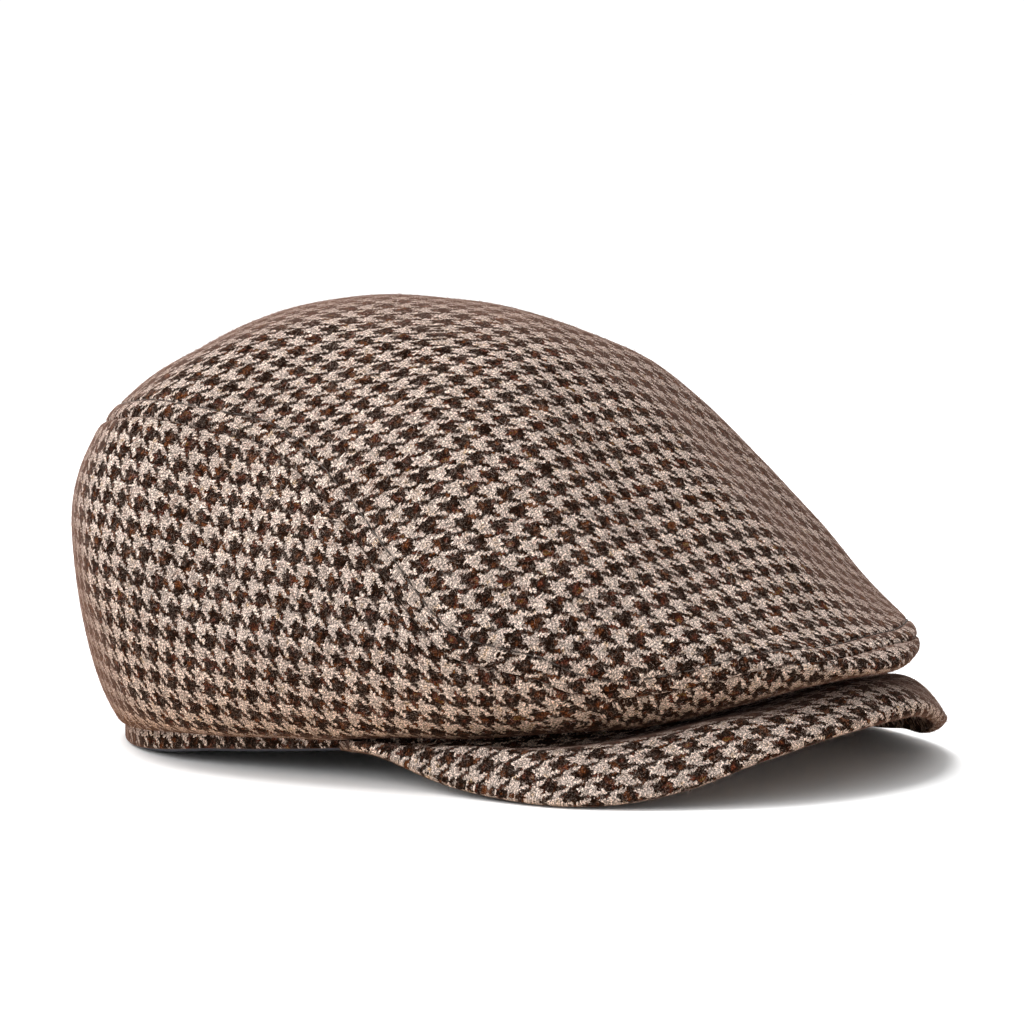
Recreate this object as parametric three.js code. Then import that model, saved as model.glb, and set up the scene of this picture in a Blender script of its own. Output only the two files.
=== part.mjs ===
import * as THREE from 'three';
import { mergeVertices } from 'three/addons/utils/BufferGeometryUtils.js';

// Flat cap of the duckbill kind, in houndstooth tweed. Millimetres, +Z up.
// The front is -Y, the wearer's left is +X, and the cap stands on its rear hem and its two brim corners.
// A turn is an angle round the cap: 0 at the middle of the front, 90 at the wearer's left, 180 at the back.

const DEG = Math.PI / 180;

// Cloth and gaps
const TWEED = 2.2;
const SWEATBAND_THICK = 1.0;
const BRIM_THICK = 4.6;
const GAP = 0.3;
const SEAM_GAP = 0.55;

// Top of the crown. Near it the cloth leans forward and curves the same way all round.
const TOP = { y: 27.7, z: 126 };
const CREST = { lean: 9.5, curve: 46.1, share: 0.56 };

// Outlines seen from above: half width, then how far each reaches forward and back of its own middle
const WIDEST = { half: 98.2, front: 165.7, back: 88.4, y: 39, frontPower: 1.9, backPower: 2.15 };
const HEM = { half: 83.6, front: 127.3, back: 70, y: 46.2, frontPower: 2, backPower: 2.05 };
const RIM = { half: 95, front: 133, back: 0, y: 7.9, frontPower: 2.27, backPower: 2 };

// Heights and roundness round the crown, one row every 30 degrees of turn.
// widest: height of the widest line. fold: height where the side panel turns under and ends.
// hem: height of the hem's lower edge. low: roundness below the widest line.
// dome and shoulder: roundness above it, in from the edge and up from it.
const STEP = 30;
const SECTIONS = [
  { widest: 32.0, fold: 26.3, hem: 19.5, low: 1.90, dome: 1.45, shoulder: 0.72 },
  { widest: 39.2, fold: 16.6, hem: 13.0, low: 2.20, dome: 1.98, shoulder: 0.61 },
  { widest: 39.5, fold: 12.2, hem: 10.0, low: 2.20, dome: 1.89, shoulder: 1.54 },
  { widest: 39.0, fold: 9.4, hem: 5.0, low: 2.10, dome: 2.40, shoulder: 1.19 },
  { widest: 54.8, fold: 6.6, hem: 0.8, low: 1.42, dome: 1.93, shoulder: 2.57 },
  { widest: 58.5, fold: 5.6, hem: 0.0, low: 1.45, dome: 2.02, shoulder: 2.28 },
  { widest: 60.0, fold: 5.2, hem: 0.0, low: 1.60, dome: 2.43, shoulder: 2.33 },
];

// Height of the seam between the top panel and the side panel: turn, height
const SEAM = [
  [0, 37.0], [12, 36.7], [21, 35.8], [28, 33.2], [36, 29.0], [43, 26.7], [48, 28.2], [52, 32.0],
  [56, 34.2], [61, 37.5], [64, 44.5], [68, 57.0], [73, 70.0], [80, 81.5], [88, 89.2], [100, 93.0],
  [116, 95.2], [135, 92.0], [157, 88.0], [180, 86.0],
];

// Height of the middle of the brim's rolled edge: angle along the brim, height
const RIM_HEIGHT = [[0, 19.6], [13, 18.2], [27, 13.4], [40, 5.7], [53, 1.7], [67, 2.8], [80, 10.6]];

// Ends of the brim: angle of the rim, turn of the root, the thinner end, how far it tucks in and from where
const RIM_END = 80;
const ROOT_END = 70;
const BRIM_END_THICK = 2.4;
const BRIM_TUCK = 0.75;
const TUCK_START = 56;

// The brim starts a little under the fold and swells up under the lip before it turns down to the rim.
// Bulge: share of the way from the middle to the end, rise at three quarters of the way to the rim
const BRIM_BELOW_FOLD = 0.8;
const BULGE = [
  [0, 4.0], [0.1, 3.8], [0.2, 3.8], [0.3, 5.0], [0.4, 6.8], [0.6, 8.1], [0.8, 7.3], [0.92, 2.6], [1, 0],
];
const BULGE_PEAK = 27 / 256;

// How far the hem band runs up inside the side panel, the sweatband's height and the strip of it that shows
const BAND_INSIDE = 14;
const SWEATBAND_TALL = 26;
const SWEATBAND_SHOWS = 0.9;

// Facets
const TURNS = 72;
const SIDE_ROWS = 11;
const TOP_ROWS = 13;
const BRIM_COLUMNS = 44;
const BRIM_ROWS = 12;
const RIM_ROWS = 5;
const ROUGH_STEPS = 60;
const MERIDIAN_POINTS = 90;
const SOFTENING_PASSES = 7;

// Short steps either way used to find a slope: along the cloth, round the cap, across the brim
const REACH_ALONG = 1.5;
const REACH_ROUND = 1;
const REACH_ACROSS = 0.02;

const clamp = (v, low, high) => Math.min(high, Math.max(low, v));
const signedPower = (v, p) => Math.sign(v) * Math.abs(v) ** p;

// Smooth curve through values at even or uneven stops, flat at both ends
function through(stops, values, at) {
  const last = stops.length - 1;
  const x = clamp(at, stops[0], stops[last]);
  let i = 0;
  while (i < last - 1 && x > stops[i + 1]) i += 1;
  const slope = (k) => {
    if (k === 0 || k === last) return 0;
    return (values[k + 1] - values[k - 1]) / (stops[k + 1] - stops[k - 1]);
  };
  const span = stops[i + 1] - stops[i];
  const t = (x - stops[i]) / span;
  const rise = values[i + 1] - values[i];
  const bend0 = slope(i) * span;
  const bend1 = slope(i + 1) * span;
  return values[i] + bend0 * t + (3 * rise - 2 * bend0 - bend1) * t * t + (bend0 + bend1 - 2 * rise) * t ** 3;
}

// A turn of any size folded to 0..180, since the cap is the same on both sides
const folded = (turn) => Math.abs(((turn % 360) + 540) % 360 - 180);

const section = (turn, name) => Math.max(0, through(
  SECTIONS.map((_, i) => i * STEP), SECTIONS.map((row) => row[name]), folded(turn)));
const throughRows = (rows, at) => through(rows.map((r) => r[0]), rows.map((r) => r[1]), at);
const seamHeight = (turn) => throughRows(SEAM, folded(turn));
const rimHeight = (angle) => throughRows(RIM_HEIGHT, Math.abs(angle));

// Point on an outline seen from above, moved out or in by a distance
function outline(shape, turn, out = 0) {
  const s = Math.sin(turn * DEG);
  const c = Math.cos(turn * DEG);
  const power = 2 / (c >= 0 ? shape.frontPower : shape.backPower);
  const reach = (c >= 0 ? shape.front : shape.back) + out;
  return [(shape.half + out) * signedPower(s, power), shape.y - reach * signedPower(c, power)];
}

// One line of the crown from the fold at the hem, round the widest line, to the top.
// Softening passes round it where the cloth turns over the lip.
const meridians = new Map();
function meridian(turn) {
  const key = turn.toFixed(4);
  if (meridians.has(key)) return meridians.get(key);
  const [wx, wy] = outline(WIDEST, turn);
  const [hx, hy] = outline(HEM, turn);
  const widest = section(turn, 'widest');
  const fold = section(turn, 'fold');
  const low = section(turn, 'low');
  const dome = section(turn, 'dome');
  const shoulder = section(turn, 'shoulder');
  const rough = [];
  for (let i = 0; i <= ROUGH_STEPS; i += 1) {
    const a = (i / ROUGH_STEPS) * Math.PI / 2;
    const out = Math.sin(a) ** (2 / low);
    const up = 1 - Math.max(Math.cos(a), 0) ** (2 / low);
    rough.push(new THREE.Vector3(hx + (wx - hx) * out, hy + (wy - hy) * out, fold + (widest - fold) * up));
  }
  for (let i = 1; i <= ROUGH_STEPS; i += 1) {
    const r = Math.cos((i / ROUGH_STEPS) * Math.PI / 2);
    const up = Math.max(1 - Math.max(r, 0) ** dome, 0) ** (1 / shoulder);
    const side = widest + (TOP.z - widest) * up;
    const crest = TOP.z - CREST.lean * r * Math.cos(turn * DEG) - CREST.curve * r * r;
    const blend = Math.exp(-((r / CREST.share) ** 2));
    rough.push(new THREE.Vector3(r * wx, TOP.y + r * (wy - TOP.y), side + (crest - side) * blend));
  }
  let line = evenly(rough, MERIDIAN_POINTS);
  for (let pass = 0; pass < SOFTENING_PASSES; pass += 1) {
    line = line.map((p, i) => {
      if (i === 0 || i === line.length - 1) return p;
      const [before, after] = [line[i - 1], line[i + 1]];
      return p.clone().multiplyScalar(0.5).addScaledVector(before, 0.25).addScaledVector(after, 0.25);
    });
  }
  const result = { points: line, lengths: runningLength(line) };
  meridians.set(key, result);
  return result;
}

function runningLength(points) {
  const lengths = [0];
  for (let i = 1; i < points.length; i += 1) {
    lengths.push(lengths[i - 1] + points[i].distanceTo(points[i - 1]));
  }
  return lengths;
}

function along(points, lengths, at) {
  const last = points.length - 1;
  const s = clamp(at, 0, lengths[last]);
  let i = 0;
  while (i < last - 1 && s > lengths[i + 1]) i += 1;
  return points[i].clone().lerp(points[i + 1], (s - lengths[i]) / (lengths[i + 1] - lengths[i] || 1));
}

function evenly(points, count) {
  const lengths = runningLength(points);
  const total = lengths[lengths.length - 1];
  return Array.from({ length: count }, (_, i) => along(points, lengths, (total * i) / (count - 1)));
}

const crownPoint = (turn, at) => along(meridian(turn).points, meridian(turn).lengths, at);
const crownLength = (turn) => meridian(turn).lengths[MERIDIAN_POINTS - 1];

function crownNormal(turn, at) {
  const total = crownLength(turn);
  if (at > total - REACH_ALONG) return new THREE.Vector3(0, 0, 1);
  const below = crownPoint(turn, Math.max(at - REACH_ALONG, 0));
  const up = crownPoint(turn, Math.min(at + REACH_ALONG, total)).sub(below);
  const share = at / total;
  const side = crownPoint(turn + REACH_ROUND, share * crownLength(turn + REACH_ROUND)).sub(
    crownPoint(turn - REACH_ROUND, share * crownLength(turn - REACH_ROUND)));
  return side.cross(up).normalize();
}

// How far up each line of the crown the seam runs
function seamAt(turn) {
  const { points, lengths } = meridian(turn);
  const height = seamHeight(turn);
  let i = 0;
  while (points[i + 1].z < height) i += 1;
  const part = (height - points[i].z) / (points[i + 1].z - points[i].z);
  return lengths[i] + part * (lengths[i + 1] - lengths[i]);
}

// Half the gap at the seam, measured up the crown, so that it stays the same where the seam is steep
function halfGap(turn) {
  const [before, after] = [turn - REACH_ROUND, turn + REACH_ROUND];
  const width = crownPoint(after, seamAt(turn)).distanceTo(crownPoint(before, seamAt(turn)));
  const rise = seamAt(after) - seamAt(before);
  return (SEAM_GAP / 2) * Math.hypot(1, rise / width);
}

// Closed body from rings of points: each ring joins the next, and the last joins the first or is capped
function bodyFromRings(rings, closed) {
  const size = rings[0].length;
  const positions = rings.flat().flatMap((p) => [p.x, p.y, p.z]);
  const faces = [];
  const at = (ring, i) => (ring % rings.length) * size + (i % size);
  const count = closed ? rings.length : rings.length - 1;
  for (let ring = 0; ring < count; ring += 1) {
    for (let i = 0; i < size; i += 1) {
      const a = at(ring, i);
      const b = at(ring + 1, i);
      const c = at(ring + 1, i + 1);
      const d = at(ring, i + 1);
      faces.push(a, b, c, a, c, d);
    }
  }
  if (!closed) {
    for (const [ring, forward] of [[0, false], [rings.length - 1, true]]) {
      const middle = positions.length / 3;
      const centre = rings[ring].reduce((sum, p) => sum.add(p), new THREE.Vector3()).divideScalar(size);
      positions.push(centre.x, centre.y, centre.z);
      for (let i = 0; i < size; i += 1) {
        const a = at(ring, i);
        const b = at(ring, i + 1);
        if (forward) faces.push(middle, b, a);
        else faces.push(middle, a, b);
      }
    }
  }
  return geometry(positions, faces);
}

function geometry(positions, faces) {
  const made = new THREE.BufferGeometry();
  made.setAttribute('position', new THREE.Float32BufferAttribute(positions, 3));
  made.setIndex(faces);
  return mergeVertices(made, 1e-4);
}

// Inner face of the crown's cloth; both panels lean the same way where they meet at the seam
function insidePoint(turn, s, atSeam) {
  const normal = crownNormal(turn, atSeam ? seamAt(turn) : s);
  return crownPoint(turn, s).addScaledVector(normal, -TWEED);
}

const range = (count) => Array.from({ length: count }, (_, i) => i);

// Side panel: a wall of cloth from the fold up to the seam, all the way round
function sidePanel() {
  const rings = range(TURNS).map((i) => {
    const turn = (i * 360) / TURNS;
    const end = seamAt(turn) - halfGap(turn);
    const stops = range(SIDE_ROWS + 1).map((k) => (end * k) / SIDE_ROWS);
    const outer = stops.map((s) => crownPoint(turn, s));
    const inner = stops.map((s) => insidePoint(turn, s, s === end));
    return [...outer, ...inner.reverse()];
  });
  return bodyFromRings(rings, true);
}

// Top panel: a dome of cloth from the seam to the top, closed in the middle outside and inside
function topPanel() {
  const positions = [];
  const faces = [];
  const put = (p) => positions.push(p.x, p.y, p.z) / 3 - 1;
  const grid = range(TURNS).map((i) => {
    const turn = (i * 360) / TURNS;
    const start = seamAt(turn) + halfGap(turn);
    const total = crownLength(turn);
    const stops = range(TOP_ROWS).map((k) => start + ((total - start) * k) / TOP_ROWS);
    return {
      outer: stops.map((s) => put(crownPoint(turn, s))),
      inner: stops.map((s) => put(insidePoint(turn, s, s === start))),
    };
  });
  const top = crownPoint(0, crownLength(0));
  const outerTop = put(top);
  const innerTop = put(top.clone().setZ(top.z - TWEED));
  const quad = (a, b, c, d) => faces.push(a, b, c, a, c, d);
  grid.forEach((column, i) => {
    const next = grid[(i + 1) % TURNS];
    for (let k = 0; k < TOP_ROWS - 1; k += 1) {
      quad(column.outer[k], next.outer[k], next.outer[k + 1], column.outer[k + 1]);
      quad(next.inner[k], column.inner[k], column.inner[k + 1], next.inner[k + 1]);
    }
    const end = TOP_ROWS - 1;
    faces.push(column.outer[end], next.outer[end], outerTop);
    faces.push(next.inner[end], column.inner[end], innerTop);
    quad(column.inner[0], next.inner[0], next.outer[0], column.outer[0]);
  });
  return geometry(positions, faces);
}

// How far the side panel's cloth reaches in past its own lower edge, so that the bands clear it
function clearInside(turn) {
  const fromMiddle = (x, y) => Math.hypot(x, y - HEM.y);
  const edge = fromMiddle(...outline(HEM, turn));
  const reach = range(BAND_INSIDE).map((s) => {
    const p = crownPoint(turn, s).addScaledVector(crownNormal(turn, s), -TWEED);
    return edge - fromMiddle(p.x, p.y);
  });
  return Math.max(0, ...reach) + GAP;
}

// Upright band following the hem: outer face set in by a distance, from one height to another
function band(inset, thickness, lowAt, highAt) {
  const rings = range(TURNS).map((i) => {
    const turn = (i * 360) / TURNS;
    const low = lowAt(turn);
    const high = highAt(turn);
    const start = clearInside(turn) + inset;
    const [ox, oy] = outline(HEM, turn, -start);
    const [ix, iy] = outline(HEM, turn, -start - thickness);
    return [
      new THREE.Vector3(ox, oy, low),
      new THREE.Vector3(ox, oy, (low + high) / 2),
      new THREE.Vector3(ox, oy, high),
      new THREE.Vector3(ix, iy, high),
      new THREE.Vector3(ix, iy, (low + high) / 2),
      new THREE.Vector3(ix, iy, low),
    ];
  });
  return bodyFromRings(rings, true);
}

// Brim: a padded plate from under the fold to a rolled edge, arched from side to side
function brim() {
  const rings = range(BRIM_COLUMNS + 1).map((i) => {
    const share = (2 * i) / BRIM_COLUMNS - 1;
    const rimTurn = share * RIM_END;
    const rootTurn = share * ROOT_END;
    const [rx, ry] = outline(HEM, rootTurn, GAP);
    const [fullX, fullY] = outline(RIM, rimTurn);
    const tucked = BRIM_TUCK * THREE.MathUtils.smoothstep(Math.abs(rimTurn), TUCK_START, RIM_END);
    const ex = fullX + (rx - fullX) * tucked;
    const ey = fullY + (ry - fullY) * tucked;
    const rimEnd = new THREE.Vector3(ex, ey, rimHeight(rimTurn));
    const rootTop = section(rootTurn, 'fold') - BRIM_BELOW_FOLD;
    const half = (BRIM_THICK - (BRIM_THICK - BRIM_END_THICK) * Math.abs(share) ** 6) / 2;
    const root = new THREE.Vector3(rx, ry, rootTop - half);
    const bulge = throughRows(BULGE, Math.abs(share)) / BULGE_PEAK;
    const middle = (t) => root.clone().lerp(rimEnd, t).setZ(
      root.z + (rimEnd.z - root.z) * t + bulge * t ** 3 * (1 - t));
    const run = new THREE.Vector3(ex - rx, ey - ry, 0).normalize();
    const square = (t) => {
      if (t === 0) return new THREE.Vector3(0, 0, 1);
      const forward = middle(Math.min(t + REACH_ACROSS, 1)).sub(middle(t - REACH_ACROSS));
      const flat = forward.dot(run);
      return run.clone().multiplyScalar(-forward.z).add(new THREE.Vector3(0, 0, flat)).normalize();
    };
    const stops = range(BRIM_ROWS + 1).map((k) => k / BRIM_ROWS);
    const top = stops.map((t) => middle(t).addScaledVector(square(t), half));
    const under = stops.map((t) => middle(t).addScaledVector(square(t), -half));
    const out = new THREE.Vector3().crossVectors(square(1), new THREE.Vector3().crossVectors(run, square(1)));
    const roll = range(RIM_ROWS).slice(1).map((k) => {
      const a = Math.PI / 2 - (k / RIM_ROWS) * Math.PI;
      const raised = middle(1).addScaledVector(square(1), half * Math.sin(a));
      return raised.addScaledVector(out, half * Math.cos(a));
    });
    return [...top, ...roll, ...under.reverse()].reverse();
  });
  return bodyFromRings(rings, false);
}

function piece(name, shape, colour, roughness) {
  const material = new THREE.MeshStandardMaterial({ color: colour, roughness, metalness: 0 });
  material.name = name;
  const mesh = new THREE.Mesh(shape, material);
  mesh.name = name;
  return mesh;
}

const TWEED_COLOUR = 0x83705f;
const BRIM_COLOUR = 0x7c6856;
const BAND_COLOUR = 0x75604e;
const SWEATBAND_COLOUR = 0x25222a;

const cap = new THREE.Group();
cap.name = 'flat_cap';
cap.add(piece('crown_top', topPanel(), TWEED_COLOUR, 0.95));
cap.add(piece('side_panel', sidePanel(), TWEED_COLOUR, 0.95));
cap.add(piece('brim', brim(), BRIM_COLOUR, 0.95));
cap.add(piece('headband', band(0, TWEED, (turn) => section(turn, 'hem'),
  (turn) => section(turn, 'fold') + BAND_INSIDE), BAND_COLOUR, 0.95));
const sweatbandLow = (turn) => Math.max(section(turn, 'hem') - SWEATBAND_SHOWS, GAP);
cap.add(piece('sweatband', band(TWEED + GAP, SWEATBAND_THICK, sweatbandLow,
  (turn) => sweatbandLow(turn) + SWEATBAND_TALL), SWEATBAND_COLOUR, 0.8));

export default cap;
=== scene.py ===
"""Flat cap in houndstooth tweed, dressed over its plain solids.

The scene is in metres; the shape is worked out in millimetres, +Z up, front -Y, the wearer's left +X.
A turn is an angle round the cap: 0 at the middle of the front, 90 at the wearer's left, 180 at the back.
"""
import math

import bpy
import numpy as np
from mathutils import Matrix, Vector


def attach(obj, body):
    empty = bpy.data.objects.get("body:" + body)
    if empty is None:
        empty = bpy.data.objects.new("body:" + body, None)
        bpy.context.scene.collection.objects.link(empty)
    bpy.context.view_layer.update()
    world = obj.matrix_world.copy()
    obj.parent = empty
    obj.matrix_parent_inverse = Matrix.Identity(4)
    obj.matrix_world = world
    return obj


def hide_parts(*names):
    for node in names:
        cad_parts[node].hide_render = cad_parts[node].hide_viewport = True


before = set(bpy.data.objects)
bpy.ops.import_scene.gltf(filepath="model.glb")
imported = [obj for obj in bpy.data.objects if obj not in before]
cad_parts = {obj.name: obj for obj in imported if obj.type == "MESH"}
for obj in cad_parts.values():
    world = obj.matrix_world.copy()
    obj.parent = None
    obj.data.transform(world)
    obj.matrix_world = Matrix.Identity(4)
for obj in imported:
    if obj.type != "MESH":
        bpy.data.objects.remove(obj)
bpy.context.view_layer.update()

MM = 0.001
DEG = math.pi / 180

# Camera of the photograph
CAMERA_AZIMUTH = -55.84
CAMERA_ELEVATION = 6.11
CAMERA_DISTANCE = 1140.4
CAMERA_TARGET = (-9.4, -6.5, 67.2)
CAMERA_LENS = 142.6
CAMERA_SENSOR = 36

# Shape, from the same driving dimensions as the solids
TOP = {"y": 27.7, "z": 126.0}
CREST = {"lean": 9.5, "curve": 46.1, "share": 0.56}
WIDEST = {"half": 98.2, "front": 165.7, "back": 88.4, "y": 39, "front_power": 1.9, "back_power": 2.15}
HEM = {"half": 83.6, "front": 127.3, "back": 70, "y": 46.2, "front_power": 2, "back_power": 2.05}
RIM = {"half": 95, "front": 133, "back": 0, "y": 7.9, "front_power": 2.27, "back_power": 2}
STEP = 30
SECTIONS = {
    "widest": [32.0, 39.2, 39.5, 39.0, 54.8, 58.5, 60.0],
    "fold": [26.3, 16.6, 12.2, 9.4, 6.6, 5.6, 5.2],
    "hem": [19.5, 13.0, 10.0, 5.0, 0.8, 0.0, 0.0],
    "low": [1.90, 2.20, 2.20, 2.10, 1.42, 1.45, 1.60],
    "dome": [1.45, 1.98, 1.89, 2.40, 1.93, 2.02, 2.43],
    "shoulder": [0.72, 0.61, 1.54, 1.19, 2.57, 2.28, 2.33],
}
SEAM = [
    (0, 37.0), (12, 36.7), (21, 35.8), (28, 33.2), (36, 29.0), (43, 26.7), (48, 28.2), (52, 32.0),
    (56, 34.2), (61, 37.5), (64, 44.5), (68, 57.0), (73, 70.0), (80, 81.5), (88, 89.2), (100, 93.0),
    (116, 95.2), (135, 92.0), (157, 88.0), (180, 86.0),
]
RIM_HEIGHT = [(0, 19.6), (13, 18.2), (27, 13.4), (40, 5.7), (53, 1.7), (67, 2.8), (80, 10.6)]
TWEED = 2.2
SWEATBAND_THICK = 1.0
BRIM_THICK = 4.6
BRIM_END_THICK = 2.4
BRIM_TUCK = 0.75
TUCK_START = 56
RIM_END = 80
ROOT_END = 70
BRIM_BELOW_FOLD = 0.8
BULGE = [
    (0, 4.0), (0.1, 3.8), (0.2, 3.8), (0.3, 5.0), (0.4, 6.8), (0.6, 8.1), (0.8, 7.3), (0.92, 2.6), (1, 0)]
BULGE_PEAK = 27 / 256
BAND_INSIDE = 14
SWEATBAND_TALL = 26
SWEATBAND_SHOWS = 0.9
GAP = 0.3

# The brim is soft on the wearer's left: fuller in its middle and lower at its rim.
# Each comes and goes over these shares of the brim's half width.
FAR_RISE = {"height": 3.7, "comes": (0.10, 0.30), "goes": (0.60, 0.85)}
FAR_SAG = {"height": 4.0, "comes": (0.02, 0.26), "goes": (0.38, 0.58)}

# Fineness of the surfaces
COLUMNS = 360
MERIDIAN_POINTS = 260
ROUGH_STEPS = 170
SOFTENING_PASSES = 58

# Seams, folds and dents
DENTS = ((75, 0.16), (52, 0.14), (34, 0.09), (23, 0.05))   # wave length, height
SEAM_ROLL = 1.15
FOLD_ROLL = 1.1
WELT = 0.35                                                # raised allowance above the seam
ALLOWANCE = 0.25                                           # and below it
SEWN_GROOVE = {"depth": 0.7, "width": 0.6}
BACK_GROOVE = {"depth": 0.8, "width": 0.9}
BACK_RADIUS = 88.0
EDGE_GROOVE = {"depth": 0.35, "angle": -0.75, "width": 0.16}
BRIM_DENTS = 0.6                                           # share of the dents that the stiff brim has

# Distances from the seam and from the fold at which the cloth beside them is worked out
NEAR_SEAM = np.array([
    0, 0.15, 0.4, 0.8, 1.3, 2.0, 2.8, 3.6, 4.4, 5.0, 5.5, 5.9, 6.3, 6.7, 7.1, 7.6, 8.3, 9.3, 10.5])
NEAR_FOLD = np.array([0, 0.12, 0.35, 0.7, 1.1, 1.8, 2.8])

# Weave: pitch of one yarn, yarns to a repeat, how many of them are dark, yarns to a step of the twill
YARN = 0.83
REPEAT = 8.0
DARK_YARNS = 4.35
TWILL = 4.0
TOP_WEAVE_TURN = 9.0
LEVEL_RING = (34, 50)
LEVEL_BLEND = (24, 42)
GIRTH_UP = 26.0
UNDER_SHIFT = 3.1
# Strength of the painted warm light that the tweed reads from its shade attribute
SHADED_WARMTH = 0.55

# Topstitching: turn and height above the seam, then the sizes of one stitch
STITCH_UP = [(0, 5.2), (30, 5.6), (60, 6.3), (180, 6.3)]
STITCH_LENGTH = 3.0
STITCH_PITCH = 3.6
STITCH_SUNK = 0.30
STITCH_ARCH = 0.22
STITCH_ENDS_SUNK = 0.1
THREAD = 0.42

# Loose wool
FIBRES = 42000
FIBRE_RADIUS = (0.030, 0.052)
FIBRE_LENGTH = (0.9, 2.3)
FIBRE_LIFT = (0.15, 1.0)
FIBRE_ROOT = 0.15
FIBRE_SCATTER = 0.6
FIBRE_LOWEST = 2.6
HEAD_MIDDLE = (0, 20, 40)

# Light and floor, in metres and watts
SOFTBOXES = [("overhead", (-0.1, 0.7, 2.2), 1.6, 60), ("left_fill", (-1.9, 0.7, 1.3), 1.2, 16)]
SOFTBOX_AIM = (0, 0, 0.06)
SKY_LEVEL = 1.06
SKY_LIFT = 0.85
SKY_BEHIND = (-0.45, 0.89)
SKY_RISE = (0.08, 0.35)
FLOOR_REACH = 40


def through(table, at):
    """Smooth curve through values at their stops, flat at both ends."""
    stops = np.array([r[0] for r in table], float)
    values = np.array([r[1] for r in table], float)
    x = np.clip(at, stops[0], stops[-1])
    i = np.clip(np.searchsorted(stops, x, side="right") - 1, 0, len(stops) - 2)
    slope = np.zeros(len(stops))
    slope[1:-1] = (values[2:] - values[:-2]) / (stops[2:] - stops[:-2])
    span = stops[i + 1] - stops[i]
    t = (x - stops[i]) / span
    rise = values[i + 1] - values[i]
    b0, b1 = slope[i] * span, slope[i + 1] * span
    return values[i] + b0 * t + (3 * rise - 2 * b0 - b1) * t * t + (b0 + b1 - 2 * rise) * t**3


def folded(turn):
    return np.abs((np.asarray(turn, float) + 180) % 360 - 180)


def section(turn, name):
    return np.maximum(0, through([(i * STEP, v) for i, v in enumerate(SECTIONS[name])], folded(turn)))


def outline(shape, turn, out=0.0):
    """Point on an outline seen from above, moved out or in by a distance."""
    s, c = np.sin(turn * DEG), np.cos(turn * DEG)
    power = 2 / np.where(c >= 0, shape["front_power"], shape["back_power"])
    reach = np.where(c >= 0, shape["front"], shape["back"]) + out
    signed = lambda v: np.sign(v) * np.abs(v) ** power
    return (shape["half"] + out) * signed(s), shape["y"] - reach * signed(c)


def smoothstep(v, low, high):
    t = np.clip((v - low) / (high - low), 0, 1)
    return t * t * (3 - 2 * t)


def groove(distance, shape):
    """Depth of a rounded groove at a distance from its middle line."""
    return shape["depth"] * np.exp(-((distance / shape["width"]) ** 2))


def lengths(lines):
    """Distance of each point from the start of its line."""
    steps = np.linalg.norm(np.diff(lines, axis=-2), axis=-1)
    return np.concatenate([np.zeros_like(steps[..., :1]), np.cumsum(steps, -1)], -1)


def unit(vectors):
    return vectors / np.linalg.norm(vectors, axis=-1, keepdims=True)


def lookup(at, stops, values):
    return np.stack([np.interp(at, stops, values[:, a]) for a in range(values.shape[1])], -1)


def round_again(values):
    """Columns all the way round, with the first one again at the end."""
    return np.concatenate([values, values[:1]], 0)


def spread(lines, count):
    """Each line of points taken again at even spacing."""
    length = lengths(lines)
    return np.array([lookup(np.linspace(0, at[-1], count), at, line) for at, line in zip(length, lines)])


def meridians(turn):
    """Lines of the crown from the fold at the hem, round the widest line, to the top."""
    wx, wy = outline(WIDEST, turn)
    hx, hy = outline(HEM, turn)
    row = {name: section(turn, name)[:, None] for name in SECTIONS}
    a = np.linspace(0, np.pi / 2, ROUGH_STEPS + 1)[None]
    out = np.sin(a) ** (2 / row["low"])
    up = 1 - np.maximum(np.cos(a), 0) ** (2 / row["low"])
    lower = np.stack([
        hx[:, None] + (wx - hx)[:, None] * out,
        hy[:, None] + (wy - hy)[:, None] * out,
        row["fold"] + (row["widest"] - row["fold"]) * up], -1)
    r = np.maximum(np.cos(np.arange(1, ROUGH_STEPS + 1) / ROUGH_STEPS * np.pi / 2)[None], 0)
    up = np.maximum(1 - r ** row["dome"], 0) ** (1 / row["shoulder"])
    side = row["widest"] + (TOP["z"] - row["widest"]) * up
    crest = TOP["z"] - CREST["lean"] * r * np.cos(turn * DEG)[:, None] - CREST["curve"] * r * r
    blend = np.exp(-((r / CREST["share"]) ** 2))
    upper = np.stack([
        r * wx[:, None], TOP["y"] + r * (wy[:, None] - TOP["y"]), side + (crest - side) * blend], -1)
    lines = spread(np.concatenate([lower, upper], 1), MERIDIAN_POINTS)
    for _ in range(SOFTENING_PASSES):
        lines[:, 1:-1] = 0.5 * lines[:, 1:-1] + 0.25 * lines[:, :-2] + 0.25 * lines[:, 2:]
    return lines


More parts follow.
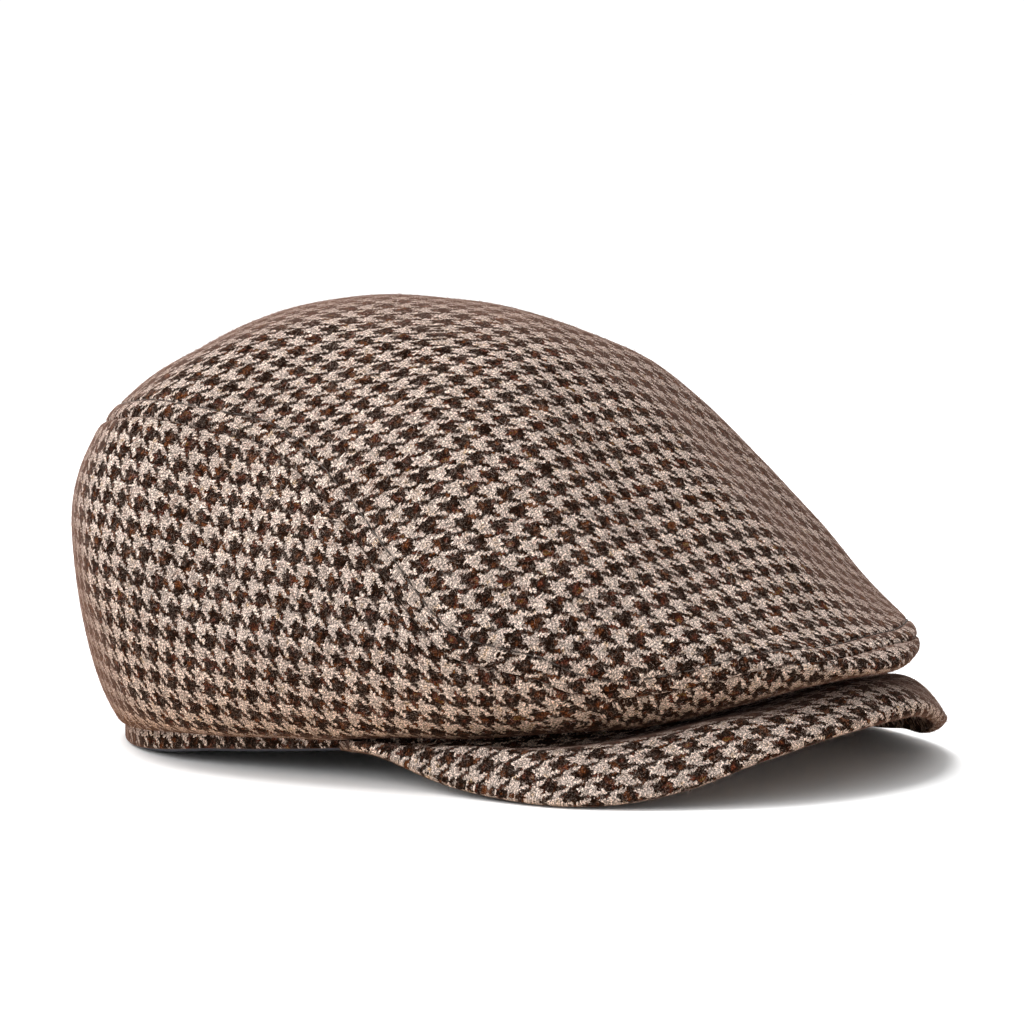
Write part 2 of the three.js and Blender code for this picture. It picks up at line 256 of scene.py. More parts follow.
class Crown:
    """The crown's outer surface, looked up by turn and by distance up from the fold."""

    def __init__(self):
        self.turns = np.arange(COLUMNS) * 360 / COLUMNS - 180
        self.lines = meridians(self.turns)
        self.at = lengths(self.lines)
        self.total = self.at[:, -1]
        sideways = np.roll(self.lines, -1, 0) - np.roll(self.lines, 1, 0)
        normal = np.cross(sideways, np.gradient(self.lines, axis=1))
        normal[:, -4:] = (0, 0, 1)
        self.normals = unit(normal)
        self.seam = np.array([self.reach(k, z) for k, z in enumerate(through(SEAM, folded(self.turns)))])
        self.steep = self.steepness()

    def reach(self, k, height):
        """Distance up from the fold at which a line first comes to a height."""
        z = self.lines[k, :, 2]
        i = int(np.argmax(z[1:] >= height))
        part = (height - z[i]) / (z[i + 1] - z[i])
        return self.at[k, i] + part * (self.at[k, i + 1] - self.at[k, i])

    def steepness(self):
        """How much longer the way up from the seam is than the way straight away from it."""
        around = np.array([self.point(k, self.seam[k])[0] for k in range(COLUMNS)])
        width = np.linalg.norm((np.roll(around, -1, 0) - np.roll(around, 1, 0))[:, :2], axis=1)
        steep = np.hypot(1, (np.roll(self.seam, -1) - np.roll(self.seam, 1)) / width)
        for _ in range(3):
            steep = 0.5 * steep + 0.25 * (np.roll(steep, 1) + np.roll(steep, -1))
        return steep

    def point(self, k, s):
        return lookup(np.atleast_1d(s), self.at[k], self.lines[k])

    def normal(self, k, s):
        return unit(lookup(np.atleast_1d(s), self.at[k], self.normals[k]))


crown = Crown()


def relax(points, flat, passes, closed=False):
    """Flattens a grid of cloth: its squares keep their sides and diagonals as nearly as they can."""
    pairs = [((slice(1, None), slice(None)), (slice(None, -1), slice(None)), 1.0),
             ((slice(None), slice(1, None)), (slice(None), slice(None, -1)), 1.0),
             ((slice(1, None), slice(1, None)), (slice(None, -1), slice(None, -1)), 0.5),
             ((slice(1, None), slice(None, -1)), (slice(None, -1), slice(1, None)), 0.5)]
    wanted = [np.linalg.norm(points[a] - points[b], axis=-1) for a, b, _ in pairs]
    flat = flat.copy()
    for _ in range(passes):
        move = np.zeros_like(flat)
        for (a, b, weight), want in zip(pairs, wanted):
            d = flat[a] - flat[b]
            now = np.linalg.norm(d, axis=-1)
            push = (0.15 * weight * (want - now) / np.maximum(now, 1e-6))[..., None] * d
            move[a] += push
            move[b] -= push
        if closed:
            move[0] = move[-1] = move[0] + move[-1]
        flat += move
    return flat


def flatten(points, flat, passes=(900, 700, 400, 160), closed=False):
    """relax() on every eighth row and column, then every fourth, every second and all of them."""
    rows, columns = (np.arange(n) for n in points.shape[:2])
    for step, count in zip((8, 4, 2, 1), passes):
        i, k = (np.unique(np.append(n[::step], n[-1])) for n in (rows, columns))
        rough = relax(points[np.ix_(i, k)], flat[np.ix_(i, k)], count, closed)
        moved = rough - flat[np.ix_(i, k)]
        moved = np.array([lookup(columns, k, row) for row in moved])
        moved = np.stack([lookup(rows, i, moved[:, column]) for column in columns], 1)
        flat = flat + moved
    return flat


def soft_dents(points):
    """Slow unevenness of handled cloth, in millimetres."""
    out = np.zeros(points.shape[:-1])
    local = np.random.default_rng(21)
    for wave, height in DENTS:
        for _ in range(4):
            d = local.normal(size=3)
            d /= np.linalg.norm(d)
            out += height * np.sin(points @ d * (2 * np.pi / wave) + local.uniform(0, 6.28))
    return out


def placed(name, data):
    """A new object in the scene."""
    obj = bpy.data.objects.new(name, data)
    bpy.context.scene.collection.objects.link(obj)
    return obj


def mesh_object(name, points, faces, uv=None, shade=None, node=None):
    """A smooth-shaded piece from points in millimetres, with a flat-cloth coordinate at each face corner."""
    mesh = bpy.data.meshes.new(name)
    mesh.from_pydata((np.asarray(points) * MM).tolist(), [], faces)
    mesh.shade_smooth()
    if uv is not None:
        layer = mesh.uv_layers.new(name="cloth")
        layer.data.foreach_set("uv", np.asarray(uv, np.float32).ravel())
    if shade is not None:
        layer = mesh.attributes.new("shade", "FLOAT", "POINT")
        layer.data.foreach_set("value", np.asarray(shade, np.float32).ravel())
    obj = placed(name, mesh)
    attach(obj, "root")
    if node:
        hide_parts(node)
    return obj


def skin(rings, uvs, wrap, ends):
    """Faces and corner coordinates over rings of points.

    wrap joins the last ring to the first, and ends closes each ring.
    """
    count, size = rings.shape[:2]
    columns = np.arange(count if wrap else count - 1)
    rows = np.arange(size if ends else size - 1)
    c, r = np.meshgrid(columns, rows, indexing="ij")
    corners = [(c, r), (c + 1, r), (c + 1, r + 1), (c, r + 1)]
    faces = np.stack([(a % count) * size + b % size for a, b in corners], -1).reshape(-1, 4)
    uv = np.stack([uvs[a, b % size] for a, b in corners], 2).reshape(-1, 4, 2)
    return faces, uv


def turned(uvs, degrees):
    c, s = math.cos(degrees * DEG), math.sin(degrees * DEG)
    return np.stack([uvs[..., 0] * c - uvs[..., 1] * s, uvs[..., 0] * s + uvs[..., 1] * c], -1)


def under_cloth(stops, flat):
    """Flat-cloth coordinates of the inner rows, read off the outer ones at the same distances up."""
    return np.array([lookup(inner, outer, line) for (outer, inner), line in zip(stops + stops[:1], flat)])


def rolled(d, radius):
    """How far a turned edge lies below the cloth beside it."""
    inside = np.clip((radius - d) / radius, 0, 1)
    return -radius * (1 - np.sqrt(1 - inside**2))


def beside_seam(d, stitched):
    """Height of the top panel by distance from the seam: turned edge, raised allowance, sunk stitching."""
    welt = WELT * smoothstep(d, 0.8, 2.4) * (1 - smoothstep(d, stitched - 1.1, stitched + 0.7))
    return rolled(d, SEAM_ROLL) + welt - groove(d - stitched, SEWN_GROOVE)


def warmth(normals):
    """Share of warm light that brown cloth throws back on cloth that faces down."""
    return np.clip(0.15 - 0.95 * normals[..., 2], 0, 1)


def level_near_top(outer, flat, from_top):
    """Close to the top, where the columns meet, the cloth is nearly level.

    There its flat coordinates are its plan, fitted to the flattened cloth in a ring around it.
    """
    plan = np.concatenate([outer[..., :2], np.ones_like(outer[..., :1])], -1)
    ring = (from_top > LEVEL_RING[0]) & (from_top < LEVEL_RING[1])
    fit = np.linalg.lstsq(plan[ring], flat[ring], rcond=None)[0]
    return flat + (1 - smoothstep(from_top, *LEVEL_BLEND))[..., None] * (plan @ fit - flat)


def top_panel():
    far_rows, inner_rows, hole = 96, 28, 0.7
    rings, stops, shades = [], [], []
    for k in range(COLUMNS):
        near = crown.seam[k] + NEAR_SEAM * crown.steep[k]
        s = np.concatenate([near, np.linspace(near[-1], crown.total[k] - hole, far_rows)[1:]])
        p, n = crown.point(k, s), crown.normal(k, s)
        stitched = through(STITCH_UP, folded(crown.turns[k]))
        height = beside_seam((s - crown.seam[k]) / crown.steep[k], stitched) + soft_dents(p)
        under = np.linspace(crown.total[k] - hole, crown.seam[k], inner_rows)
        pu, nu = crown.point(k, under), crown.normal(k, under)
        inner = pu + nu * (soft_dents(pu) - TWEED)[:, None]
        rings.append(np.concatenate([inner, p + n * height[:, None]]))
        stops.append((s, under))
        # Painted warm light on cloth that faces down
        shades.append(np.concatenate([warmth(-nu), warmth(n)]))
    rings = np.array(rings)
    from_top = round_again(np.array([crown.total[k] - stops[k][0] for k in range(COLUMNS)]))
    turn = round_again(crown.turns)[:, None] * DEG
    start = np.stack([from_top * np.sin(turn), -from_top * np.cos(turn)], -1)
    outer = round_again(rings[:, inner_rows:])
    flat = level_near_top(outer, flatten(outer, start, closed=True), from_top)
    flat = turned(flat, TOP_WEAVE_TURN)
    uvs = np.concatenate([under_cloth(stops, flat), flat], 1)
    faces, uv = skin(rings, uvs, True, False)
    size = rings.shape[1]
    faces, uv = faces.tolist(), uv.reshape(-1, 2)
    for row, order in ((size - 1, np.arange(COLUMNS)), (0, np.arange(COLUMNS)[::-1])):
        faces.append((order * size + row).tolist())
        uv = np.concatenate([uv, uvs[order, row]])
    obj = mesh_object("crown_top_cloth", rings.reshape(-1, 3), faces, uv, shades, "crown_top")
    return obj


def side_panel():
    middle_rows, inner_rows = 62, 20
    near = NEAR_SEAM[NEAR_SEAM < 5.2][::-1]
    rings, stops, shades = [], [], []
    for k in range(COLUMNS):
        seam = crown.seam[k]
        below = seam - near * min(crown.steep[k], 0.35 * seam / near[0])
        s = np.concatenate([NEAR_FOLD, np.linspace(NEAR_FOLD[-1], below[0], middle_rows)[1:], below[1:]])
        d = (seam - s) / crown.steep[k]
        p, n = crown.point(k, s), crown.normal(k, s)
        from_back = math.radians(180 - abs(crown.turns[k])) * BACK_RADIUS
        height = rolled(d, SEAM_ROLL) + rolled(s, FOLD_ROLL) + soft_dents(p)
        height += ALLOWANCE * smoothstep(d, 0.8, 2.2) * (1 - smoothstep(d, 4, 6))
        height -= groove(from_back, BACK_GROOVE)
        under = np.concatenate([np.linspace(seam, 0.6, inner_rows), [0.0]])
        pu, nu = crown.point(k, under), crown.normal(k, under)
        depth = soft_dents(pu) - TWEED
        depth[-1] = -0.75 * TWEED
        rings.append(np.concatenate([p + n * height[:, None], pu + nu * depth[:, None]]))
        stops.append((s, under))
        # Painted warm light on cloth that faces down and on the lowest cloth above the fold
        painted_warmth_near_fold = 0.45 * (1 - smoothstep(s, 1, 9))
        shades.append(np.concatenate([np.clip(warmth(n) + painted_warmth_near_fold, 0, 1), warmth(-nu)]))
    rings = np.array(rings)
    rows = len(stops[0][0])
    girth = [crown.point(k, min(GIRTH_UP, crown.seam[k]))[0] for k in range(COLUMNS)]
    around = lengths(round_again(np.array(girth)))
    around -= around[-1] / 2
    up = round_again(np.array([outer for outer, _ in stops]))
    start = np.stack([np.repeat(around[:, None], rows, 1), up], -1)
    flat = flatten(round_again(rings[:, :rows]), start)
    uvs = np.concatenate([flat, under_cloth(stops, flat)], 1)
    faces, uv = skin(rings, uvs, True, True)
    obj = mesh_object("side_panel_cloth", rings.reshape(-1, 3), faces.tolist(), uv, shades, "side_panel")
    return obj


def inner_clearance(k):
    """How far the side panel's cloth reaches in past its own lower edge, so that the bands clear it."""
    s = np.arange(BAND_INSIDE)
    p = crown.point(k, s) - crown.normal(k, s) * TWEED
    edge = np.hypot(crown.lines[k, 0, 0], crown.lines[k, 0, 1] - HEM["y"])
    return max(0.0, (edge - np.hypot(p[:, 0], p[:, 1] - HEM["y"])).max()) + GAP


def band(name, node, inset, thickness, low, high):
    """Upright band that follows the hem, with rounded edges."""
    rows, round_rows = 10, 7
    half = thickness / 2
    a = np.linspace(0, np.pi, round_rows)[1:-1]
    inward = np.concatenate([
        np.zeros(rows), half * (1 - np.cos(a)), np.full(rows, thickness), half * (1 + np.cos(a))])
    rings, up = [], []
    for k in range(COLUMNS):
        z = np.linspace(low[k] + half, high[k] - half, rows)
        height = np.concatenate([z, z[-1] + half * np.sin(a), z[::-1], z[0] - half * np.sin(a)])
        turn = np.full(len(inward), crown.turns[k])
        x, y = outline(HEM, turn, -(inner_clearance(k) + inset + inward))
        rings.append(np.stack([x, y, height], -1))
        up.append(height - low[k] + 0.6 * inward)
    rings = np.array(rings)
    around = lengths(round_again(rings[:, 0]))
    uvs = np.stack([np.repeat(around[:, None], rings.shape[1], 1), round_again(np.array(up))], -1)
    faces, uv = skin(rings, uvs, True, True)
    # Painted warm light, even all over the band
    shade = np.full(rings.shape[:2], 0.35)
    obj = mesh_object(name, rings.reshape(-1, 3), faces.tolist(), uv, shade, node)
    return obj


def far_side(share, softness):
    """A softness of the brim that comes and goes along the wearer's left."""
    gone = smoothstep(share, *softness["goes"])
    return softness["height"] * smoothstep(share, *softness["comes"]) * (1 - gone)


def brim():
    """Padded plate from under the fold to a rolled edge, arched from side to side."""
    columns, rows, roll_rows = 240, 40, 14
    share = np.linspace(-1, 1, columns + 1)
    rx, ry = outline(HEM, share * ROOT_END, GAP)
    fx, fy = outline(RIM, share * RIM_END)
    out_turn = np.abs(share) * RIM_END
    tucked = BRIM_TUCK * smoothstep(out_turn, TUCK_START, RIM_END)
    half = (BRIM_THICK - (BRIM_THICK - BRIM_END_THICK) * np.abs(share) ** 6) / 2
    rim_height = through(RIM_HEIGHT, out_turn) - far_side(share, FAR_SAG)
    rim = np.stack([fx + (rx - fx) * tucked, fy + (ry - fy) * tucked, rim_height], -1)
    root = np.stack([rx, ry, section(share * ROOT_END, "fold") - BRIM_BELOW_FOLD - half], -1)

    # Middle surface, from the root to the rim, and the direction square to it
    bulge = (through(BULGE, np.abs(share)) + far_side(share, FAR_RISE)) / BULGE_PEAK
    t = np.linspace(0, 1, rows + 1)
    middle = root[:, None] + (rim - root)[:, None] * t[None, :, None]
    middle[..., 2] += bulge[:, None] * (t**3 * (1 - t))[None]
    run = unit((rim - root) * (1, 1, 0))
    along = np.gradient(middle, axis=1)
    level = (along * run[:, None]).sum(-1)[..., None]
    square = unit(level * np.array([0, 0, 1.0]) - along[..., 2:3] * run[:, None])
    dents = soft_dents(middle)[..., None] * BRIM_DENTS
    top = middle + square * (half[:, None, None] + dents)
    under = middle - square * (half[:, None, None] - dents)

    # Rolled edge
    out = np.cross(square[:, -1], np.cross(run, square[:, -1]))
    a = np.linspace(np.pi / 2, -np.pi / 2, roll_rows + 2)[1:-1]
    outward = square[:, -1][:, None] * np.sin(a)[None, :, None] + out[:, None] * np.cos(a)[None, :, None]
    sunk = groove(a - EDGE_GROOVE["angle"], EDGE_GROOVE)
    edge = rim[:, None] + outward * (half[:, None] + dents[:, -1] - sunk[None])[..., None]
    upper = np.concatenate([top, edge], 1)
    rings = np.concatenate([upper, under[:, ::-1]], 1)

    # Cloth, laid flat from the root outward
    start = root[:, None, :2] + run[:, None, :2] * lengths(upper)[..., None]
    flat = flatten(upper, start)
    uvs = np.concatenate([flat, flat[:, rows::-1] + UNDER_SHIFT], 1)
    faces, uv = skin(rings, uvs, False, True)
    size = rings.shape[1]
    faces = faces[:, ::-1].tolist()
    uv = uv[:, ::-1].reshape(-1, 2)
    for column, order in ((0, np.arange(size)), (columns, np.arange(size)[::-1])):
        faces.append((column * size + order).tolist())
        uv = np.concatenate([uv, uvs[column, order]])
    # Painted warm light: fading out from the root across the top, growing round the rolled edge, full on the
    # underside
    painted_warmth_near_root = 0.5 * (1 - smoothstep(t, 0.0, 0.35))
    shade = np.concatenate([painted_warmth_near_root, np.linspace(0.2, 1.0, roll_rows), np.ones(rows + 1)])
    obj = mesh_object("brim_cloth", rings.reshape(-1, 3), faces, uv, np.tile(shade, columns + 1), "brim")
    return obj


def cloth_faces(piece):
    """Area, centre in millimetres and normal of each face, a row for each."""
    polygons = piece.data.polygons
    rows = []
    for name, size in (("area", 1), ("center", 3), ("normal", 3)):
        values = np.empty(len(polygons) * size)
        polygons.foreach_get(name, values)
        rows.append(values.reshape(-1, size))
    rows[1] = rows[1] / MM
    return np.concatenate(rows, 1)


def stray_fibres(pieces):
    """Fine loose hairs of wool that stand off the cloth: closed three-sided needles, rooted in it."""
    local = np.random.default_rng(5)
    rows = np.concatenate([cloth_faces(piece) for piece in pieces])
    area, centre, normal = np.split(rows, (1, 4), axis=1)
    outward = (normal * (centre - HEAD_MIDDLE)).sum(1) > 0
    chance = area[:, 0] * outward * (centre[:, 2] > FIBRE_LOWEST)
    pick = local.choice(len(chance), FIBRES, p=chance / chance.sum())
    n = normal[pick]
    scatter = np.cross(n, local.normal(size=(FIBRES, 3))) * FIBRE_SCATTER
    root = centre[pick] + scatter - n * FIBRE_ROOT
    lying = unit(np.cross(n, local.normal(size=(FIBRES, 3))))
    way = unit(lying + n * local.uniform(*FIBRE_LIFT, (FIBRES, 1)))
    side = unit(np.cross(way, n))
    radius = local.uniform(*FIBRE_RADIUS, (FIBRES, 1))
    tip = root + way * local.uniform(*FIBRE_LENGTH, (FIBRES, 1))
    corners = []
    for angle in np.arange(3) * 2 * np.pi / 3:
        corners.append(root + radius * (side * math.cos(angle) + np.cross(side, way) * math.sin(angle)))
    points = np.stack(corners + [tip], 1).reshape(-1, 3)
    shape = np.array([(0, 1, 3), (1, 2, 3), (2, 0, 3), (2, 1, 0)])
    faces = (4 * np.arange(FIBRES)[:, None, None] + shape).reshape(-1, 3)
    return mesh_object("stray_fibres", points, faces.tolist())


def topstitching():
    """Separate closed stitches along the groove above the seam."""
    sides, rings_each = 6, 7
    at = crown.seam + through(STITCH_UP, folded(crown.turns)) * crown.steep
    line = np.array([crown.point(k, at[k])[0] for k in range(COLUMNS)])
    normal = np.array([crown.normal(k, at[k])[0] for k in range(COLUMNS)])
    line = round_again(line + normal * (soft_dents(line) - STITCH_SUNK)[:, None])
    normal = round_again(normal)
    length = lengths(line)
    count = int(length[-1] / STITCH_PITCH)
    t = np.linspace(0, 1, rings_each)
    fat = np.sqrt(np.clip(1 - (2 * t - 1) ** 2, 0, 1)) ** 0.5
    radius = THREAD / 2 * np.maximum(fat, 0.25)
    a = np.arange(sides) * 2 * np.pi / sides
    points, faces = [], []
    for i in range(count):
        span = (i + 0.5) * length[-1] / count + (t - 0.5) * STITCH_LENGTH
        n = lookup(span, length, normal)
        c = lookup(span, length, line) + n * (STITCH_ARCH * np.sin(np.pi * t) - STITCH_ENDS_SUNK)[:, None]
        side = unit(np.cross(np.gradient(c, axis=0), n))
        ring = side[:, None] * np.cos(a)[None, :, None] + n[:, None] * np.sin(a)[None, :, None]
        base = i * rings_each * sides
        points.append((c[:, None] + ring * radius[:, None, None]).reshape(-1, 3))
        for r in range(rings_each - 1):
            for q in range(sides):
                w = (q + 1) % sides
                faces.append([base + r * sides + q, base + (r + 1) * sides + q,
                              base + (r + 1) * sides + w, base + r * sides + w])
        faces.append([base + q for q in range(sides)])
        faces.append([base + (rings_each - 1) * sides + q for q in range(sides)][::-1])
    return mesh_object("topstitching", np.concatenate(points), faces)


class Graph:
    """Short names for building the nodes of a material or of the world."""

    def __init__(self, owner, shader="Principled BSDF"):
        owner.use_nodes = True
        self.owner = owner
        self.tree = owner.node_tree
        self.shader = self.tree.nodes[shader]

    def put(self, socket, value):
        if hasattr(value, "is_output"):
            self.tree.links.new(value, socket)
        else:
            socket.default_value = value

    def finished(self, values):
        """Fills the shader's own sockets and gives back what the nodes belong to."""
        for key, value in values.items():
            self.put(self.shader.inputs[key], value)
        return self.owner

    def node(self, kind, inputs=(), **settings):
        node = self.tree.nodes.new(kind)
        for key, value in settings.items():
            setattr(node, key, value)
        for key, value in dict(inputs).items():
            self.put(node.inputs[key], value)
        return node

    def math(self, operation, *values):
        return self.node("ShaderNodeMath", dict(enumerate(values)), operation=operation).outputs[0]

    def fit(self, value, low, high, to_low=0.0, to_high=1.0):
        inputs = {"Value": value, "From Min": low, "From Max": high, "To Min": to_low, "To Max": to_high}
        return self.node("ShaderNodeMapRange", inputs).outputs[0]

    def noise(self, scale, at, detail=1.0, roughness=0.5, distortion=0.0):
        return self.node("ShaderNodeTexNoise", {
            "Vector": at, "Scale": scale, "Detail": detail, "Roughness": roughness,
            "Distortion": distortion})

    def stir(self, factor, a, b, blend="MIX"):
        inputs = {0: factor, 6: a, 7: b}
        return self.node("ShaderNodeMix", inputs, data_type="RGBA", blend_type=blend).outputs[2]

    def ramp(self, value, stops):
        node = self.node("ShaderNodeValToRGB", {"Fac": value})
        elements = node.color_ramp.elements
        while len(elements) < len(stops):
            elements.new(0.5)
        for element, (place, colour) in zip(elements, stops):
            element.position = place
            element.color = (*colour, 1)
        return node.outputs[0]

    def shift(self, at, x, y, z):
        return self.node("ShaderNodeVectorMath", {0: at, 1: (x, y, z)}, operation="ADD").outputs[0]

    def split(self, vector):
        return self.node("ShaderNodeSeparateXYZ", {0: vector}).outputs

    def bump(self, strength, depth, height):
        return self.node("ShaderNodeBump", {
            "Strength": strength, "Distance": depth * MM, "Height": height}).outputs[0]


def houndstooth(name):
    """2/2 twill of four dark and four light yarns each way, in brushed wool.

    Cloth coordinates are millimetres.
    """
    g = Graph(bpy.data.materials.new(name))
    cloth = g.node("ShaderNodeUVMap", uv_map="cloth").outputs[0]
    centred = lambda v, amount: g.math("MULTIPLY", g.math("SUBTRACT", v, 0.5), amount)
    base = g.split(cloth)
    slow = g.split(g.noise(0.09, cloth, 1).outputs["Color"])
    rag = g.split(g.noise(1.35, cloth, 3, 0.65).outputs["Color"])
    yarns = []
    for axis in (0, 1):
        v = g.math("ADD", g.math("DIVIDE", base[axis], YARN), 1000 * REPEAT)
        v = g.math("ADD", v, centred(slow[axis], 1.8))
        yarns.append(g.math("ADD", v, centred(rag[axis], 3.0)))
    u, v = yarns
    iu, iv = g.math("FLOOR", u), g.math("FLOOR", v)
    is_dark = lambda x: g.math("LESS_THAN", g.math("MODULO", x, REPEAT), DARK_YARNS)
    warp_up = g.math("LESS_THAN", g.math("MODULO", g.math("ADD", iu, iv), TWILL), 1.5)
    weft_up = g.math("SUBTRACT", 1.0, warp_up)
    shown = lambda a, b: g.math("ADD", g.math("MULTIPLY", warp_up, a), g.math("MULTIPLY", weft_up, b))
    darkness = shown(is_dark(u), is_dark(v))

    # Height of the yarn that shows: round across, and bowed along the two yarns that it passes over
    bow = lambda x: g.math("SINE", g.math("MULTIPLY", g.math("FRACT", x), math.pi))
    along = lambda x, i: bow(g.math("DIVIDE", g.math("ADD", x, i), 2.0))
    rise = lambda across, far: g.math("MULTIPLY", bow(across), g.math("MULTIPLY_ADD", far, 0.6, 0.4))
    relief = shown(rise(u, along(v, iu)), rise(v, along(u, iv)))

    # Yarn colours: dark brown with rust, olive and wine flecks, and cream that goes to pinkish beige
    fleck = g.noise(0.33, g.shift(cloth, 31, 7, 1), 2, 0.55).outputs[0]
    dark_hue = g.ramp(fleck, [
        (0.33, (0.16, 0.050, 0.016)), (0.40, (0.050, 0.017, 0.007)), (0.46, (0.016, 0.0065, 0.0025)),
        (0.55, (0.017, 0.0070, 0.0035)), (0.60, (0.060, 0.021, 0.011)), (0.67, (0.14, 0.034, 0.018)),
        (0.73, (0.19, 0.095, 0.022))])
    cream = g.noise(0.5, g.shift(cloth, 3, 47, 5), 2, 0.6).outputs[0]
    light_hue = g.ramp(cream, [
        (0.30, (0.58, 0.40, 0.32)), (0.45, (0.92, 0.75, 0.65)), (0.62, (0.85, 0.67, 0.56)),
        (0.75, (0.58, 0.38, 0.21))])
    ground = g.stir(darkness, light_hue, dark_hue)

    def hairs(scale, width, shift):
        """Thin curling lines where a noise crosses its middle value, in patches."""
        field = g.noise(scale, g.shift(cloth, *shift), 1.0, 0.5, 0.8).outputs[0]
        off = g.math("ABSOLUTE", g.math("SUBTRACT", field, 0.5))
        patch = g.noise(0.5, g.shift(cloth, shift[1], shift[0], 3), 1).outputs[0]
        return g.math("MULTIPLY", g.fit(off, width, 0.0), g.fit(patch, 0.42, 0.56))

    light_hairs = g.math("MAXIMUM", hairs(0.85, 0.030, (13, 71, 2)), hairs(1.5, 0.040, (53, 17, 9)))
    dark_hairs = g.math("MAXIMUM", hairs(1.0, 0.034, (91, 5, 7)), hairs(1.7, 0.045, (7, 43, 1)))
    colour = g.stir(g.math("MULTIPLY", light_hairs, 0.38), ground, (0.66, 0.52, 0.44, 1))
    colour = g.stir(g.math("MULTIPLY", dark_hairs, 0.85), colour, (0.024, 0.010, 0.005, 1))

    # Light and shade between fibres, finer than a yarn
    grain = g.noise(2.3, cloth, 2, 0.75).outputs[0]
    number = shown(iu, g.math("ADD", iv, 311.0))
    yarn_tint = g.node("ShaderNodeTexWhiteNoise", {"W": number}, noise_dimensions="1D").outputs[0]
    shade = g.math("MULTIPLY", g.fit(yarn_tint, 0, 1, 0.80, 1.12), g.fit(grain, 0.34, 0.66, 0.14, 1.42))
    shade = g.math("MULTIPLY", shade, g.fit(relief, 0.05, 0.75, 0.22, 1.20))
    grey = g.node("ShaderNodeCombineXYZ", {0: shade, 1: shade, 2: shade}).outputs[0]
    colour = g.stir(1.0, colour, grey, "MULTIPLY")

    # Painted shade and a haze of fibres where the cloth is seen edge on, and painted warm light where it is
    # tucked under
    edge_on = g.node("ShaderNodeLayerWeight", {"Blend": 0.5}).outputs["Facing"]
    colour = g.stir(g.fit(edge_on, 0.57, 1.0, 0, 0.85), colour, (0.21, 0.125, 0.098, 1))
    tucked = g.node("ShaderNodeAttribute", attribute_name="shade").outputs["Fac"]
    colour = g.stir(g.math("MULTIPLY", tucked, SHADED_WARMTH), colour, (1.0, 0.68, 0.38, 1), "MULTIPLY")

    height = g.math("ADD", relief, g.math("MULTIPLY", grain, 0.8))
    height = g.math("ADD", height, g.math("MULTIPLY", light_hairs, 0.4))
    return g.finished({
        "Base Color": colour, "Normal": g.bump(0.9, 0.4, height),
        "Roughness": 1.0, "Specular IOR Level": 0.0,
        "Sheen Weight": 0.01, "Sheen Roughness": 0.5, "Sheen Tint": (0.95, 0.78, 0.72, 1)})


def ribbon(name):
    g = Graph(bpy.data.materials.new(name))
    cloth = g.node("ShaderNodeUVMap", uv_map="cloth").outputs[0]
    ribs = {"Vector": cloth, "Scale": 0.55, "Distortion": 0.6, "Detail": 1}
    weave = g.node("ShaderNodeTexWave", ribs, bands_direction="X").outputs[1]
    tone = g.noise(0.6, cloth, 2).outputs[0]
    colour = g.stir(g.fit(tone, 0.3, 0.7), (0.010, 0.010, 0.015, 1), (0.024, 0.024, 0.036, 1))
    return g.finished({"Base Color": colour, "Normal": g.bump(0.5, 0.1, weave), "Roughness": 0.5})


def thread(name):
    g = Graph(bpy.data.materials.new(name))
    place = g.node("ShaderNodeTexCoord").outputs["Object"]
    twist = g.noise(2600, place, 1).outputs[0]
    colour = g.stir(twist, (0.020, 0.012, 0.008, 1), (0.06, 0.040, 0.028, 1))
    return g.finished({"Base Color": colour, "Normal": g.bump(0.4, 0.08, twist), "Roughness": 0.6})


def wool_hair(name):
    g = Graph(bpy.data.materials.new(name))
    place = g.node("ShaderNodeTexCoord").outputs["Object"]
    tone = g.noise(300, place, 1).outputs[0]
    colour = g.ramp(tone, [
        (0.38, (0.10, 0.045, 0.030)), (0.5, (0.34, 0.22, 0.18)), (0.62, (0.62, 0.48, 0.42))])
    return g.finished({"Base Color": colour, "Roughness": 0.8, "Specular IOR Level": 0.1})


def pale_floor(name):
    g = Graph(bpy.data.materials.new(name))
    tone = g.noise(3.0, g.node("ShaderNodeTexCoord").outputs["Object"], 1).outputs[0]
    colour = g.stir(tone, (0.955, 0.955, 0.955, 1), (0.965, 0.965, 0.965, 1))
    return g.finished({"Base Color": colour, "Roughness": 0.8})


def aim(obj, target):
    obj.rotation_euler = (Vector(target) - obj.location).to_track_quat("-Z", "Y").to_euler()


def photo_camera():
    camera = placed("camera", bpy.data.cameras.new("camera"))
    azimuth, elevation = CAMERA_AZIMUTH * DEG, CAMERA_ELEVATION * DEG
    target = Vector(CAMERA_TARGET) * MM
    level = math.cos(elevation)
    away = Vector((math.sin(azimuth) * level, -math.cos(azimuth) * level, math.sin(elevation)))
    camera.location = target + CAMERA_DISTANCE * MM * away
    camera.data.lens = CAMERA_LENS
    camera.data.sensor_width = CAMERA_SENSOR
    aim(camera, target)
    bpy.context.scene.camera = camera


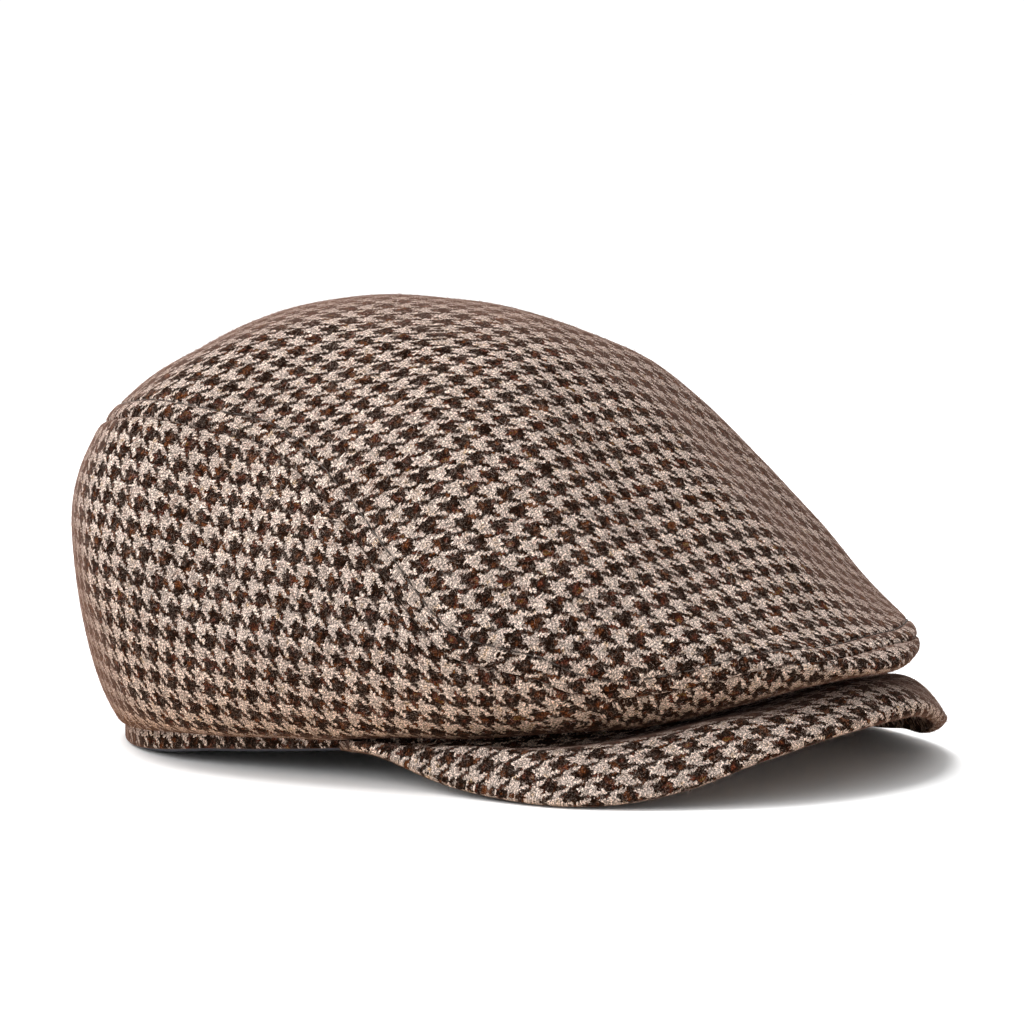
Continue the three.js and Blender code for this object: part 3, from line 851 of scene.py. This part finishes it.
def studio_sky():
    """White all round at the horizon; higher up, brighter behind the cap and darker in front of it."""
    g = Graph(bpy.data.worlds.new("studio"), "Background")
    toward = g.split(g.node("ShaderNodeTexCoord").outputs["Generated"])
    aside, back = (g.math("MULTIPLY", toward[axis], SKY_BEHIND[axis]) for axis in (0, 1))
    lift = g.math("MULTIPLY", g.math("ADD", aside, back), SKY_LIFT)
    lift = g.math("MULTIPLY", lift, g.fit(toward[2], *SKY_RISE))
    return g.finished({"Color": (1, 1, 1, 1), "Strength": g.math("ADD", lift, SKY_LEVEL)})


def softbox(name, place, width, power):
    lamp = bpy.data.lights.new(name, "AREA")
    lamp.shape = "SQUARE"
    lamp.size = width
    lamp.energy = power
    obj = placed(name, lamp)
    obj.location = place
    aim(obj, SOFTBOX_AIM)


def level_floor():
    mesh = bpy.data.meshes.new("floor")
    corners = [(x * FLOOR_REACH, y * FLOOR_REACH, 0) for x, y in ((-1, -1), (1, -1), (1, 1), (-1, 1))]
    mesh.from_pydata(corners, [], [(0, 1, 2, 3)])
    mesh.materials.append(pale_floor("pale_floor"))
    floor = placed("floor", mesh)


# Studio
photo_camera()
bpy.context.scene.world = studio_sky()
for box in SOFTBOXES:
    softbox(*box)
bpy.context.scene.view_settings.view_transform = "Standard"
level_floor()

# Pieces
crown_top = top_panel()
sides = side_panel()
hem = section(crown.turns, "hem")
headband = band("headband_cloth", "headband", 0, TWEED, hem, section(crown.turns, "fold") + BAND_INSIDE)
low = np.maximum(hem - SWEATBAND_SHOWS, GAP)
sweatband = band("sweatband_ribbon", "sweatband", TWEED + GAP, SWEATBAND_THICK, low, low + SWEATBAND_TALL)
peak = brim()
stitches = topstitching()
fibres = stray_fibres((crown_top, sides, peak))

# Materials
tweed = houndstooth("houndstooth_tweed")
for piece in (crown_top, sides, headband, peak):
    piece.data.materials.append(tweed)
fibres.data.materials.append(wool_hair("wool_hair"))
sweatband.data.materials.append(ribbon("dark_ribbon"))
stitches.data.materials.append(thread("brown_thread"))

bpy.context.view_layer.update()
